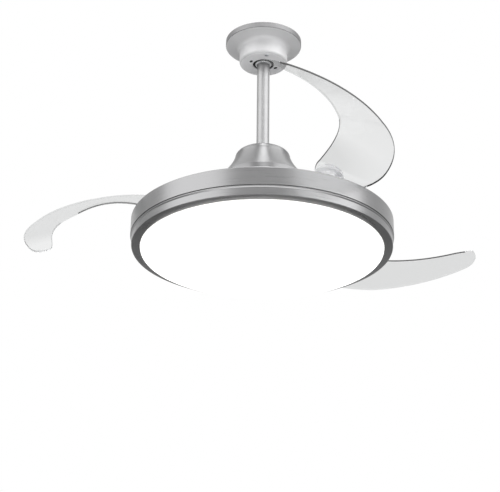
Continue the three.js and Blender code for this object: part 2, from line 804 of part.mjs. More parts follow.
// The ring is toothed only where a sector reaches it, to the tooth past each end of its travel.
function makeSyncRing() {
  const root = ringPitchRadius - dedendum * gearModule;
  const first = -Math.round(ringTravel / ringToothPitch) - 1;
  const points = [];
  for (let copy = 0; copy < bladeCount; copy++) {
    const meshAt = pivotAzimuth + (copy * 360) / bladeCount;
    for (let tooth = first; tooth <= 0; tooth++) {
      points.push(...toothPoints(ringTeeth, meshAt + (tooth + 0.5) * ringToothPitch));
    }
    const plainFrom = meshAt + 1.3 * ringToothPitch;
    const plainTo = meshAt + 360 / bladeCount + (first - 0.3) * ringToothPitch;
    points.push(...arcPoints([0, 0], root, plainFrom, plainTo, 7));
  }
  return prism(polygon(points), gearBottom, gearTop)
    .subtract(cylinder(ringInnerRadius, gearBottom - 1, gearTop + 1, drumSides));
}

// Toothed plate under each blade, about the pivot as origin. Its slot ends on the stop both ways.
function makeSector() {
  const toCentre = pivotAzimuth + 180;
  const last = Math.round(foldAngle / sectorToothPitch);
  const root = sectorPitchRadius - dedendum * gearModule;
  const points = [[0, 0], polar(root, toCentre - sectorShoulder)];
  for (let tooth = 0; tooth <= last; tooth++) {
    points.push(...toothPoints(sectorTeeth, toCentre + tooth * sectorToothPitch));
  }
  points.push(polar(root, toCentre + last * sectorToothPitch + sectorShoulder));
  const slotHalf = stopRadius + slideGap;
  const slotEdge = { inner: stopCircle - slotHalf, outer: stopCircle + slotHalf };
  const slot = prism(
    ringPart({ ...slotEdge, near: toCentre + foldAngle, far: toCentre }, 6), gearBottom - 1, gearTop + 1);
  const roundEnd = cylinder(slotHalf, gearBottom - 1, gearTop + 1, smallSides).translate([stopCircle, 0, 0]);
  return prism(polygon(points), gearBottom, gearTop)
    .subtract(slot)
    .subtract(roundEnd.rotate([0, 0, toCentre]))
    .subtract(roundEnd.rotate([0, 0, toCentre + foldAngle]));
}

// ---------------------------------------------------------------- blades, in their folded place
// Share of the way from root to tip at an azimuth, 0 until the blade leaves its root.
function bladeShare(azimuth) {
  return Math.max(0, (bodyStart - azimuth) / bodyLength);
}

function roundOff(past, length) {
  const share = Math.min(Math.max(past / length, 0), 1);
  return Math.sqrt(1 - share * share);
}

// Radii of the blade's two edges at an azimuth. Both close on the middle radius at the round ends.
function bladeEdges(azimuth) {
  const share = bladeShare(azimuth);
  const inner = innerEdge[0] + innerEdge[1] * share + innerEdge[2] * share * share;
  const fromRoot = (length) => roundOff(azimuth - (rootEnd - length), length);
  const fromTip = roundOff(tipEnd + tipRound - azimuth, tipRound);
  const atRoot = {
    outer: rootMiddle + (foldedRadius - rootMiddle) * fromRoot(rootOuterRound),
    inner: rootMiddle + (inner - rootMiddle) * fromRoot(rootInnerRound),
  };
  return {
    outer: tipMiddle + (atRoot.outer - tipMiddle) * fromTip,
    inner: tipMiddle + (atRoot.inner - tipMiddle) * fromTip,
  };
}

// Height of the middle of the blade's sheet: it is level along the drum, rises over the last half
// towards the tip, and climbs inwards at a pitch that grows over the first part of its length.
function bladeHeight(azimuth, radius) {
  const share = bladeShare(azimuth);
  const late = Math.max(0, (share - 0.5) / 0.5);
  const early = Math.min(share / 0.4, 1);
  const pitch = pitchAtRoot + (pitchAtMiddle - pitchAtRoot) * early * (2 - early);
  const outerHeight = trayTop + bladeLift + bladeTipRise * late ** bladeRise;
  return outerHeight + (foldedRadius - radius) * Math.tan(rad(pitch));
}

function bladeHeightAt([x, y]) {
  return bladeHeight(THREE.MathUtils.radToDeg(Math.atan2(y, x)), Math.hypot(x, y));
}

// A closed slab between two heights above the blade's middle surface, over its whole outline.
function bladeSlab(below, above, stations, across) {
  const positions = [];
  const corner = (i, j, offset) => {
    const share = (1 - Math.cos(Math.PI * (0.01 + (0.98 * i) / stations))) / 2;
    const azimuth = rootEnd + (tipEnd - rootEnd) * share;
    const { inner, outer } = bladeEdges(azimuth);
    const radius = inner + ((outer - inner) * j) / across;
    return [...polar(radius, azimuth), bladeHeight(azimuth, radius) + offset];
  };
  const quad = (a, b, c, d) => positions.push(...a, ...b, ...c, ...a, ...c, ...d);
  for (let i = 0; i < stations; i++) {
    for (let j = 0; j < across; j++) {
      quad(corner(i, j, above), corner(i + 1, j, above), corner(i + 1, j + 1, above), corner(i, j + 1, above));
      quad(corner(i, j, below), corner(i, j + 1, below), corner(i + 1, j + 1, below), corner(i + 1, j, below));
    }
    quad(corner(i, 0, below), corner(i + 1, 0, below), corner(i + 1, 0, above), corner(i, 0, above));
    quad(
      corner(i, across, above), corner(i + 1, across, above),
      corner(i + 1, across, below), corner(i, across, below));
  }
  for (let j = 0; j < across; j++) {
    quad(corner(0, j, below), corner(0, j, above), corner(0, j + 1, above), corner(0, j + 1, below));
    quad(
      corner(stations, j, above), corner(stations, j, below),
      corner(stations, j + 1, below), corner(stations, j + 1, above));
  }
  const geometry = new THREE.BufferGeometry();
  geometry.setAttribute("position", new THREE.Float32BufferAttribute(positions, 3));
  return toSolid(geometry);
}

// Swings a solid out of its folded place, about the first blade's pivot.
function swungOut(solid) {
  return solid
    .translate([-pivot.x, -pivot.y, 0])
    .rotate([0, 0, foldAngle])
    .translate([pivot.x, pivot.y, 0]);
}

function atPivot(solid) {
  return solid.translate([pivot.x, pivot.y, 0]);
}

const half = bladeThickness / 2;
const stations = 20;
const spotface = bladeHeightAt([pivot.x, pivot.y]) - half - spotfaceSink;
const nutSeat = spotface + fitGap;
const flangeUnder = -half - fitGap - holderFlangeThickness;
const plateTop = half + fitGap + clampThickness;

// Upright screws of the blade's clamp, from under the holder's flange. Grow makes their holes.
function clampShanks(grow) {
  return clampScrewAngles.map((angle) => {
    const [dx, dy] = polar(clampScrewCircle, angle);
    const place = [pivot.x + dx, pivot.y + dy];
    const height = bladeHeightAt(place);
    const low = height + flangeUnder - clampScrewShow - grow;
    return cylinder(clampScrewRadius + grow, low, height + plateTop + grow, clampScrewSides)
      .translate([...place, 0]);
  });
}

function makeBlade() {
  const access = atPivot(cylinder(accessHoleRadius, deckTop, bellTop, smallSides));
  const sheet = bladeSlab(-half, half, stations, 1).subtract(access);
  return clampShanks(fitGap).reduce((solid, hole) => solid.subtract(hole), sheet);
}

// Gear sector, boss and a flange that lies against the blade's underside.
function makeHolder() {
  const reach = 40;
  const flangeBand = bladeSlab(flangeUnder, -half - fitGap, stations, 1);
  const flange = atPivot(cylinder(holderFlangeRadius, deckTop, bellTop, midSides)).intersect(flangeBand);
  const boss = atPivot(cylinder(holderBossRadius, gearBottom, spotface + reach, midSides))
    .subtract(bladeSlab(-half - fitGap, 2 * reach, stations, 1));
  const upper = clampShanks(fitGap).reduce((solid, hole) => solid.subtract(hole), boss.add(flange));
  const bushHole = cylinder(bushOuter + fitGap, deckTop, spotface + 1, smallSides);
  const nutWell = cylinder(accessHoleRadius, spotface, spotface + reach, smallSides);
  const springWell = tube(
    springRadius - springWire - springRoom,
    springRadius + springWire + springRoom,
    gearBottom - 1,
    gearBottom + springTurns * springPitch + springHeadroom,
    smallSides,
  );
  return swungOut(upper)
    .add(atPivot(makeSector()))
    .subtract(atPivot(bushHole))
    .subtract(atPivot(nutWell))
    .subtract(atPivot(springWell));
}

// Plate over the blade with its three screws, which pull the blade down on the holder's flange.
function makeClamp() {
  const band = bladeSlab(half + fitGap, plateTop, stations, 1);
  const plate = atPivot(prism(ringPart(clampPlate, 7), deckTop, bellTop)).intersect(band);
  const under = bladeSlab(-2 * clampScrewHead, half + fitGap, stations, 1);
  const heads = clampScrewAngles.map((angle) => {
    const [dx, dy] = polar(clampScrewCircle, angle);
    const place = [pivot.x + dx, pivot.y + dy];
    const height = bladeHeightAt(place);
    return turned([
      [0, height],
      [clampScrewHead, height],
      [clampScrewHead, height + plateTop + clampScrewHeadHeight],
      [0, height + plateTop + clampScrewHeadHeight + clampScrewCrown],
    ], clampScrewSides).translate([...place, 0]);
  });
  const seated = heads.reduce((solid, head) => solid.add(head), plate).subtract(under);
  return clampShanks(0).reduce((solid, shank) => solid.add(shank), seated);
}

function makePost() {
  const headTop = deckBottom - fitGap;
  const top = nutSeat + nutHeight + postShow;
  return turned([
    [0, headTop - postHeadHeight],
    [postHeadRadius, headTop - postHeadHeight],
    [postHeadRadius, headTop],
    [postRadius, headTop],
    [postRadius, top],
    [0, top],
  ], smallSides);
}

function makeNut() {
  return prism(hexagon(nutAcross), nutSeat, nutSeat + nutHeight)
    .subtract(cylinder(postRadius + fitGap, nutSeat - 1, nutSeat + nutHeight + 1, smallSides));
}

// Torsion spring about the pivot: a helix whose lower end runs straight down into the deck.
class SpringPath extends THREE.Curve {
  getPoint(t, target = new THREE.Vector3()) {
    const start = gearBottom + springWire + fitGap;
    const tailShare = 0.06;
    if (t < tailShare) {
      return target.set(springRadius, 0, start - springTail * (1 - t / tailShare));
    }
    const turn = ((t - tailShare) / (1 - tailShare)) * springTurns;
    const angle = turn * 2 * Math.PI;
    const height = start + turn * springPitch;
    return target.set(springRadius * Math.cos(angle), springRadius * Math.sin(angle), height);
  }
}

// Wire swept along points worked out from the path, each ring of corners square to the path.
function makeSpring() {
  const sides = 4;
  const steps = springTurns * 8 + 3;
  const path = new SpringPath();
  const rings = [];
  for (let i = 0; i <= steps; i++) {
    const middle = path.getPoint(i / steps);
    const along = path.getTangent(i / steps);
    const outward = new THREE.Vector3(middle.x, middle.y, 0).normalize();
    const upward = new THREE.Vector3().crossVectors(outward, along).normalize();
    rings.push(Array.from({ length: sides }, (_, k) => {
      const angle = (k * 2 * Math.PI) / sides;
      return middle.clone()
        .addScaledVector(outward, springWire * Math.cos(angle))
        .addScaledVector(upward, springWire * Math.sin(angle));
    }));
  }
  const positions = [];
  const triangle = (...corners) => corners.forEach((p) => positions.push(p.x, p.y, p.z));
  for (let i = 0; i < steps; i++) {
    for (let k = 0; k < sides; k++) {
      const next = (k + 1) % sides;
      triangle(rings[i][k], rings[i][next], rings[i + 1][next]);
      triangle(rings[i][k], rings[i + 1][next], rings[i + 1][k]);
    }
  }
  for (let k = 1; k < sides - 1; k++) {
    triangle(rings[0][0], rings[0][k + 1], rings[0][k]);
    triangle(rings[steps][0], rings[steps][k], rings[steps][k + 1]);
  }
  const geometry = new THREE.BufferGeometry();
  geometry.setAttribute("position", new THREE.Float32BufferAttribute(positions, 3));
  return toSolid(geometry);
}

function makeStop() {
  const [x, y] = polar(stopCircle, pivotAzimuth + 180);
  const low = deckTop + fitGap;
  return turned([
    [0, low],
    [stopRadius, low],
    [stopRadius, gearTop],
    [0, gearTop],
  ], smallSides).translate([x, y, 0]);
}

function makeBush() {
  return tube(bushInner, bushOuter, gearBottom, spotface - fitGap, smallSides);
}

add("rotor_hub", makeHub(), "castAluminium");
add("blade_tray", makeTray(), "paintedSilver");
add("sync_ring", makeSyncRing(), "greyPlastic");
addAtEachBlade("blade", swungOut(makeBlade()), "clearBlade");
addAtEachBlade("blade_holder", makeHolder(), "whitePlastic");
addAtEachBlade("blade_clamp", swungOut(makeClamp()), "whitePaint");
addAtEachBlade("pivot_bush", atPivot(makeBush()), "whitePlastic");
addAtEachBlade("pivot_post", atPivot(makePost()), "steel");
addAtEachBlade("pivot_nut", atPivot(makeNut()), "steel");
addAtEachBlade("return_spring", atPivot(makeSpring()), "steel");
addAtEachBlade("stop_bumper", atPivot(makeStop()), "rubber");

// ---------------------------------------------------------------- lamp
const flangeTopZ = bandBottom + lampWall;

function makeLampBody() {
  const neckInner = lampNeckRadius - lampWall;
  const bandInner = lampBandRadius - lampWall;
  const body = turned([
    [shaftRadius + fitGap, roofTop],
    [lampNeckRadius, roofTop],
    [lampNeckRadius, bandTop],
    [lampBandRadius + lampBead, bandTop],
    [lampBandRadius + lampBead, bandTop - lampBeadHeight / 2],
    [lampBandRadius, bandTop - lampBeadHeight],
    [lampBandRadius, bandBottom],
    [lampFlangeRadius, bandBottom],
    [lampFlangeRadius, flangeTopZ],
    [bandInner, flangeTopZ],
    [bandInner, bandTop - lampWall],
    [neckInner, bandTop - lampWall],
    [neckInner, roofBottom],
    [shaftRadius + fitGap, roofBottom],
  ], drumSides);
  const notchOuter = lampFlangeRadius + bayonetLug + slideGap;
  const notchSpan = { near: bayonetNotch / 2, far: -bayonetNotch / 2 };
  const notchInner = lampFlangeRadius - lampFlangeWidth / 2;
  const notchShape = ringPart({ inner: notchInner, outer: notchOuter, ...notchSpan });
  const notch = prism(notchShape, bandBottom - 1, flangeTopZ + 1);
  const turnedNotch = notch.rotate([0, 0, -bayonetTurn]);
  return roundAxis(turnedNotch, bayonetCount).reduce((solid, cut) => solid.subtract(cut), body);
}

const trimTop = bandBottom - fitGap;
const collarOuter = lampFlangeRadius - slideGap - 2 * fitGap;
const collarTop = trimTop + trimCollarHeight;
const ledgeZ = trimTop - trimLedge;
const trimInnerBottom = trimTop - trimFall;

function makeTrimRing() {
  const collarInner = collarOuter - trimCollarWall;
  const ring = turned([
    [trimOuterRadius, trimTop],
    [trimOuterRadius, trimTop - trimEdge],
    [trimInnerRadius + trimEdge, trimInnerBottom],
    [trimInnerRadius, trimInnerBottom + trimEdge / 2],
    [trimInnerRadius, ledgeZ],
    [collarInner, ledgeZ],
    [collarInner, collarTop],
    [collarOuter, collarTop],
    [collarOuter, trimTop],
  ], drumSides);
  const lugLow = flangeTopZ + fitGap;
  const lugInner = collarOuter - trimCollarWall / 2;
  const lugSpan = { near: bayonetWidth / 2, far: -bayonetWidth / 2 };
  const lugShape = ringPart({ inner: lugInner, outer: lampFlangeRadius + bayonetLug, ...lugSpan });
  const lug = prism(lugShape, lugLow, collarTop);
  return roundAxis(lug, bayonetCount).reduce((solid, piece) => solid.add(piece), ring);
}

function makeDiffuser() {
  const rim = collarOuter - trimCollarWall - 2 * fitGap;
  const wallRadius = trimInnerRadius - 2 * fitGap;
  const seat = ledgeZ + fitGap;
  const bottom = trimInnerBottom - diffuserBulge;
  const edge = wallRadius - diffuserShoulder[0];
  const edgeZ = trimInnerBottom - diffuserShoulder[1];
  const crownRadius = 0.7 * edge;
  const outer = [
    [wallRadius, seat],
    [wallRadius - diffuserCorner[0], trimInnerBottom - diffuserCorner[1]],
    [edge, edgeZ],
    [crownRadius, bottom + diffuserCrown],
    [0, bottom],
  ];
  const inner = [
    [0, bottom + diffuserWall],
    [crownRadius, bottom + diffuserCrown + diffuserWall],
    [edge - diffuserWall / 2, edgeZ + diffuserWall],
    [wallRadius - diffuserWall, seat + diffuserFlange],
    [rim, seat + diffuserFlange],
    [rim, seat],
  ];
  return turned([...inner, ...outer], drumSides);
}

function makeShaftNut() {
  const top = roofBottom - fitGap;
  return prism(hexagon(shaftNutAcross), top - shaftNutHeight, top)
    .subtract(cylinder(shaftRadius + fitGap, top - shaftNutHeight - 1, top + 1, midSides));
}

function makeLampBox([width, length, height], side) {
  const top = roofBottom - fitGap;
  const near = side * boxOffset;
  const far = side * (boxOffset + width);
  const low = [Math.min(near, far), -length / 2, top - height];
  const high = [Math.max(near, far), length / 2, top];
  const grooveLow = [low[0] - 1, low[1] - 1, low[2] + boxLid];
  const grooveHigh = [high[0] + 1, high[1] + 1, low[2] + boxLid + boxGroove];
  const coreLow = [low[0] + boxGroove, low[1] + boxGroove, low[2]];
  const coreHigh = [high[0] - boxGroove, high[1] - boxGroove, high[2]];
  const core = block(coreLow, coreHigh);
  return block(low, high).subtract(block(grooveLow, grooveHigh)).add(core);
}

const ledTop = roofBottom - fitGap;

add("lamp_body", makeLampBody(), "paintedSilver");
add("trim_ring", makeTrimRing(), "paintedSilver");
add("diffuser", makeDiffuser(), "opal");
add("shaft_nut", makeShaftNut(), "steel");
add("led_board", tube(ledBoard.inner, ledBoard.outer, ledTop - ledBoard.thickness, ledTop, drumSides), "whitePlastic");
add("led_driver", makeLampBox(driverBox, 1), "whitePlastic");
add("remote_receiver", makeLampBox(receiverBox, -1), "darkPlastic");

export default fan;
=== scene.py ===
import json
import math

import bmesh
import bpy
import numpy as np
from mathutils import Matrix, Vector


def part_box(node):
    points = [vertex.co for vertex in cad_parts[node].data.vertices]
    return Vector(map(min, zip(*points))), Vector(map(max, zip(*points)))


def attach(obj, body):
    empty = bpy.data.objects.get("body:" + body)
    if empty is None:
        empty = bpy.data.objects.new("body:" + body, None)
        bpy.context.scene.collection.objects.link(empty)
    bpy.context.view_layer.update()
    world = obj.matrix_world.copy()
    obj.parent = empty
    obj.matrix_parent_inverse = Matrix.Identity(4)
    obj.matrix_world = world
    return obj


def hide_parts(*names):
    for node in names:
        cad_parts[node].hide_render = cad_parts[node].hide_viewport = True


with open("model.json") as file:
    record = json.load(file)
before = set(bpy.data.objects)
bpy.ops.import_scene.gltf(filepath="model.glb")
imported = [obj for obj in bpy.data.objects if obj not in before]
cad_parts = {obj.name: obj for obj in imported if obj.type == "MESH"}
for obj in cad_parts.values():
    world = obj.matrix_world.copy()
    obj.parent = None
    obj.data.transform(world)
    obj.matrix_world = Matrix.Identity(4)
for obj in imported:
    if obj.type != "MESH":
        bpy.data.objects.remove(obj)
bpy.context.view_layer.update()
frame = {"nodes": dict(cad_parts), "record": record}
print("frame loaded:", len(frame["nodes"]), "nodes")


# Surfaces on grids.

def gridFaces(rows, columns):
    # Quads between neighbouring points of a grid that closes on itself both ways.
    row, column = np.meshgrid(np.arange(rows), np.arange(columns), indexing="ij")
    nextRow, nextColumn = (row + 1) % rows, (column + 1) % columns
    corners = [row * columns + column, nextRow * columns + column,
               nextRow * columns + nextColumn, row * columns + nextColumn]
    return np.stack(corners, -1).reshape(-1, 4)


def surfacePiece(name, points, faces, material, body, nodes):
    mesh = bpy.data.meshes.new(name)
    mesh.from_pydata(points.tolist(), [], faces.tolist())
    work = bmesh.new()
    work.from_mesh(mesh)
    bmesh.ops.remove_doubles(work, verts=work.verts, dist=1e-6)
    bmesh.ops.recalc_face_normals(work, faces=work.faces)
    work.to_mesh(mesh)
    work.free()
    mesh.polygons.foreach_set("use_smooth", np.ones(len(mesh.polygons), bool))
    mesh.materials.append(material)
    piece = bpy.data.objects.new(name, mesh)
    bpy.context.collection.objects.link(piece)
    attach(piece, body)
    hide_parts(*nodes)
    return piece


def roundedOutline(corners, steps=6, hold=0.0003):
    # Each corner (radius, height, fillet) is cut back along both sides and bridged by an arc
    # tangent to them. A point a little before and after each arc keeps the flats flat.
    place = np.array([corner[:2] for corner in corners], float)
    fillet = np.maximum([corner[2] for corner in corners], 1e-5)
    before = np.roll(place, 1, 0) - place
    after = np.roll(place, -1, 0) - place
    lengthBefore = np.linalg.norm(before, axis=1, keepdims=True)
    lengthAfter = np.linalg.norm(after, axis=1, keepdims=True)
    before, after = before / lengthBefore, after / lengthAfter
    halfAngle = np.arccos(np.clip((before * after).sum(1), -1, 1)) / 2
    longest = 0.45 * np.minimum(lengthBefore, lengthAfter)[:, 0]
    reach = np.minimum(fillet / np.tan(halfAngle), longest)
    fillet = reach * np.tan(halfAngle)
    middle = before + after
    middle /= np.maximum(np.linalg.norm(middle, axis=1, keepdims=True), 1e-9)
    centre = place + middle * (fillet / np.sin(halfAngle))[:, None]
    sweep = math.pi - 2 * halfAngle
    share = np.linspace(0, 1, steps + 1)[None, :, None]
    startArm = (place + before * reach[:, None] - centre)[:, None, :]
    endArm = (place + after * reach[:, None] - centre)[:, None, :]
    turn = np.maximum(sweep, 1e-4)[:, None, None]
    arc = (np.sin((1 - share) * turn) * startArm + np.sin(share * turn) * endArm) / np.sin(turn)
    arc = centre[:, None, :] + arc
    lead = np.minimum(hold, 0.3 * (lengthBefore[:, 0] - reach))[:, None]
    trail = np.minimum(hold, 0.3 * (lengthAfter[:, 0] - reach))[:, None]
    first = arc[:, :1] + (before * lead)[:, None, :]
    last = arc[:, -1:] + (after * trail)[:, None, :]
    return np.concatenate([first, arc, last], 1).reshape(-1, 2)


def splitLevel(outline, height, count):
    # Long level runs of the outline at one height get more points, so they can be shaped.
    following = np.roll(outline, -1, 0)
    level = (np.abs(outline[:, 1] - height) < 1e-5) & (np.abs(following[:, 1] - height) < 1e-5)
    level &= np.abs(following[:, 0] - outline[:, 0]) > 0.005
    at = int(np.flatnonzero(level)[0])
    run = outline[at] + (following[at] - outline[at]) * np.linspace(0, 1, count + 1)[1:-1, None]
    return np.concatenate([outline[:at + 1], run, outline[at + 1:]])


def turnedPiece(name, corners, material, body, nodes, sides=240, steps=6, level=None,
                shape=None):
    # The closed outline of (radius, height) points is turned about the fan's axis:
    # x = radius cos(angle), y = radius sin(angle), z = height.
    outline = roundedOutline(corners, steps)
    if level:
        outline = splitLevel(outline, *level)
    outline[:, 0] = np.maximum(outline[:, 0], 0)
    angle = np.linspace(0, 2 * math.pi, sides, endpoint=False)
    radius = outline[:, 0][None, :]
    points = np.stack([radius * np.cos(angle)[:, None], radius * np.sin(angle)[:, None],
                       np.broadcast_to(outline[:, 1], (sides, len(outline)))], -1)
    if shape:
        points = shape(points)
    faces = gridFaces(sides, len(outline))
    return surfacePiece(name, points.reshape(-1, 3), faces, material, body, nodes)


def paintFaces(piece, material, chosen):
    # Faces whose middle is picked by its radius and place get a second finish.
    middle = np.empty(3 * len(piece.data.polygons))
    piece.data.polygons.foreach_get("center", middle)
    x, y, z = middle.reshape(-1, 3).T
    index = np.empty(len(x), np.int32)
    piece.data.polygons.foreach_get("material_index", index)
    index[chosen(np.hypot(x, y), x, y, z)] = len(piece.data.materials)
    piece.data.materials.append(material)
    piece.data.polygons.foreach_set("material_index", index)


def nodeRadius(node):
    low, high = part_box(node)
    return max(high.x, high.y, -low.x, -low.y)


# Materials.

def newMaterial(name, colour, metallic, roughness, **sockets):
    material = bpy.data.materials.new(name)
    material.use_nodes = True
    shader = material.node_tree.nodes["Principled BSDF"]
    shader.inputs["Base Color"].default_value = (*colour, 1)
    shader.inputs["Metallic"].default_value = metallic
    shader.inputs["Roughness"].default_value = roughness
    for socket, value in sockets.items():
        shader.inputs[socket].default_value = value
    return material


def objectNoise(material, scale, detail=2.0, stretch=(1, 1, 1)):
    # Noise on the piece's own coordinates, in metres, stretched along each axis.
    nodes, links = material.node_tree.nodes, material.node_tree.links
    place = nodes.new("ShaderNodeTexCoord")
    mapping = nodes.new("ShaderNodeMapping")
    mapping.inputs["Scale"].default_value = stretch
    noise = nodes.new("ShaderNodeTexNoise")
    noise.inputs["Scale"].default_value = scale
    noise.inputs["Detail"].default_value = detail
    links.new(place.outputs["Object"], mapping.inputs["Vector"])
    links.new(mapping.outputs["Vector"], noise.inputs["Vector"])
    return noise.outputs["Fac"]


def spread(material, value, low, high):
    nodes, links = material.node_tree.nodes, material.node_tree.links
    ramp = nodes.new("ShaderNodeMapRange")
    ramp.inputs["From Min"].default_value = 0.3
    ramp.inputs["From Max"].default_value = 0.7
    ramp.inputs["To Min"].default_value = low
    ramp.inputs["To Max"].default_value = high
    links.new(value, ramp.inputs["Value"])
    return ramp.outputs["Result"]


def addBump(material, height, distance, strength=1.0):
    nodes, links = material.node_tree.nodes, material.node_tree.links
    bump = nodes.new("ShaderNodeBump")
    bump.inputs["Distance"].default_value = distance
    bump.inputs["Strength"].default_value = strength
    links.new(height, bump.inputs["Height"])
    links.new(bump.outputs["Normal"], nodes["Principled BSDF"].inputs["Normal"])


def addRoughness(material, value):
    material.node_tree.links.new(value, material.node_tree.nodes["Principled BSDF"].inputs["Roughness"])


def addTint(material, value, first, second):
    nodes, links = material.node_tree.nodes, material.node_tree.links
    blend = nodes.new("ShaderNodeMix")
    blend.data_type = "RGBA"
    blend.inputs[6].default_value = (*first, 1)
    blend.inputs[7].default_value = (*second, 1)
    links.new(value, blend.inputs[0])
    links.new(blend.outputs[2], nodes["Principled BSDF"].inputs["Base Color"])


def grey(level):
    return (level, level, level * 1.01)


def silverPaint(name, level, metallic, roughness):
    # Fine metallic paint: tiny flakes in the bump, slow cloudiness in the gloss.
    material = newMaterial(name, grey(level), metallic, roughness)
    addRoughness(material, spread(material, objectNoise(material, 60, 3), roughness - 0.03, roughness + 0.03))
    addBump(material, objectNoise(material, 2600, 1), 0.00002, 0.35)
    return material


def brushedMetal(name, level, roughness, across=0.0):
    # Brushed round the axis: noise that is fine in height and long round the drum. The gloss
    # spreads across the brush marks.
    material = newMaterial(name, grey(level), 1.0, roughness,
                           **{"Anisotropic": across, "Anisotropic Rotation": 0.25})
    nodes, links = material.node_tree.nodes, material.node_tree.links
    if across:
        roundAxis = nodes.new("ShaderNodeTangent")
        roundAxis.direction_type, roundAxis.axis = "RADIAL", "Z"
        links.new(roundAxis.outputs[0], nodes["Principled BSDF"].inputs["Tangent"])
    streaks = objectNoise(material, 1, 4, (14, 14, 1800))
    addTint(material, streaks, grey(level * 0.9), grey(level * 1.1))
    addRoughness(material, spread(material, streaks, roughness - 0.04, roughness + 0.05))
    addBump(material, streaks, 0.00002, 0.5)
    return material


# Heights and glow levels of the painted shade just under the trim ring.
glow = {"heights": (-0.4665, -0.461), "paintedShadeLevels": (0.72, 0.4)}


def opalGlow():
    # Lit opal plastic. The glow is weaker just under the trim ring, by height in metres: painted shade on the
    # dish's side wall.
    material = newMaterial("opalGlow", (0.93, 0.93, 0.91), 0.0, 0.5)
    nodes, links = material.node_tree.nodes, material.node_tree.links
    shader = nodes["Principled BSDF"]
    shader.inputs["Emission Color"].default_value = (1, 1, 0.985, 1)
    place = nodes.new("ShaderNodeTexCoord")
    split = nodes.new("ShaderNodeSeparateXYZ")
    fall = nodes.new("ShaderNodeMapRange")
    for socket, value in zip(("From Min", "From Max", "To Min", "To Max"), glow["heights"] + glow["paintedShadeLevels"]):
        fall.inputs[socket].default_value = value
    links.new(place.outputs["Object"], split.inputs[0])
    links.new(split.outputs["Z"], fall.inputs["Value"])
    links.new(fall.outputs["Result"], shader.inputs["Emission Strength"])
    addBump(material, objectNoise(material, 900, 2), 0.00002, 0.3)
    return material


# The light tint at middle slants is a painted sheen.
clear = {"coat": 0.25, "coatRoughness": 0.05, "paintedSheenTilts": (0.34, 0.5, 0.66, 0.74),
         "smoky": (0.725, 0.73, 0.73), "light": (0.845, 0.85, 0.85)}


def clearBlade():
    # A smoky sheet whose tint is lighter at a middle slant: a painted sheen.
    material = newMaterial("clearBlade", grey(0.8), 0.0, 0.03, IOR=1.0)
    nodes, links = material.node_tree.nodes, material.node_tree.links
    shader = nodes["Principled BSDF"]
    shader.inputs["Transmission Weight"].default_value = 1
    shader.inputs["Coat Weight"].default_value = clear["coat"]
    shader.inputs["Coat Roughness"].default_value = clear["coatRoughness"]
    tilt = nodes.new("ShaderNodeLayerWeight")
    ramp = nodes.new("ShaderNodeValToRGB")
    stops = ramp.color_ramp.elements
    stops[0].position, stops[1].position = clear["paintedSheenTilts"][:2]
    for place in clear["paintedSheenTilts"][2:]:
        stops.new(place)
    for stop, level in zip(stops, (0, 1, 1, 0)):
        stop.color = (level, level, level, 1)
    links.new(tilt.outputs["Facing"], ramp.inputs["Fac"])
    addTint(material, ramp.outputs["Color"], clear["smoky"], clear["light"])
    addRoughness(material, spread(material, objectNoise(material, 40, 3), 0.02, 0.05))
    return material


# Dark lines painted on the blade rims: painted shade of the clear edges.
def paintedRimShade(name, level):
    material = newMaterial(name, grey(level), 0.0, 0.3)
    addRoughness(material, spread(material, objectNoise(material, 300, 2), 0.2, 0.35))
    return material


def milkyPlastic():
    # White plastic that lets most of the light behind it through.
    material = newMaterial("milkyPlastic", grey(0.94), 0.0, 0.3, IOR=1.02)
    material.node_tree.nodes["Principled BSDF"].inputs["Transmission Weight"].default_value = 0.8
    addBump(material, objectNoise(material, 1400, 2), 0.00002, 0.4)
    return material


def plainFinish(name, colour, metallic, roughness, grain, depth):
    # Mould or mill grain: noise in the bump and a small spread of the roughness.
    material = newMaterial(name, colour, metallic, roughness)
    noise = objectNoise(material, grain, 3)
    addTint(material, noise, [0.92 * c for c in colour], [min(1.06 * c, 1) for c in colour])
    addRoughness(material, spread(material, noise, roughness * 0.85, roughness * 1.15))
    addBump(material, objectNoise(material, grain * 3, 2), depth, 0.6)
    return material


# Grey level, metallic and roughness.
paints = {
    "silverPaint": (0.6, 0.2, 0.5), "silverMetal": (0.2, 1.0, 0.5), "silverCup": (0.82, 0.2, 0.5),
    "silverTube": (0.3, 0.8, 0.42),
}
# Grey level, roughness and spread across the brush marks.
brushed = {
    "silverBell": (0.25, 0.42, 0.9), "brushedBand": (0.218, 0.31), "brightBead": (0.23, 0.34),
    "darkBevel": (0.17, 0.3),
}
# Colour, metallic, roughness, noise scale of the grain and its depth in metres.
plain = {
    "zincSteel": ((0.6, 0.61, 0.63), 1.0, 0.33, 700, 0.00001),
    "castAluminium": ((0.4, 0.405, 0.41), 0.9, 0.5, 500, 0.00006),
    "whitePaint": ((0.82, 0.82, 0.82), 0.0, 0.4, 1200, 0.00002),
    "whitePlastic": ((0.8, 0.8, 0.78), 0.0, 0.45, 900, 0.00002),
    "palePlastic": ((0.62, 0.63, 0.64), 0.0, 0.45, 900, 0.00002),
    "greyPlastic": ((0.42, 0.43, 0.44), 0.0, 0.45, 900, 0.00002),
    "darkPlastic": ((0.04, 0.04, 0.043), 0.0, 0.5, 900, 0.00002),
    "blackRubber": ((0.02, 0.02, 0.02), 0.0, 0.8, 600, 0.00005),
    "enamelledCopper": ((0.5, 0.24, 0.12), 0.9, 0.35, 400, 0.0001),
    "laminatedSteel": ((0.2, 0.21, 0.22), 0.9, 0.5, 400, 0.00005),
    "sinteredMagnet": ((0.06, 0.06, 0.065), 0.3, 0.6, 500, 0.00003),
}
finish = {"opalGlow": opalGlow(), "clearBlade": clearBlade(), "paintedRimShade": paintedRimShade("paintedRimShade", 0.05),
          "faintPaintedRimShade": paintedRimShade("faintPaintedRimShade", 0.5), "milkyPlastic": milkyPlastic()}
for make, table in ((silverPaint, paints), (brushedMetal, brushed), (plainFinish, plain)):
    for name, values in table.items():
        finish[name] = make(name, *values)
print("materials made:", len(finish))

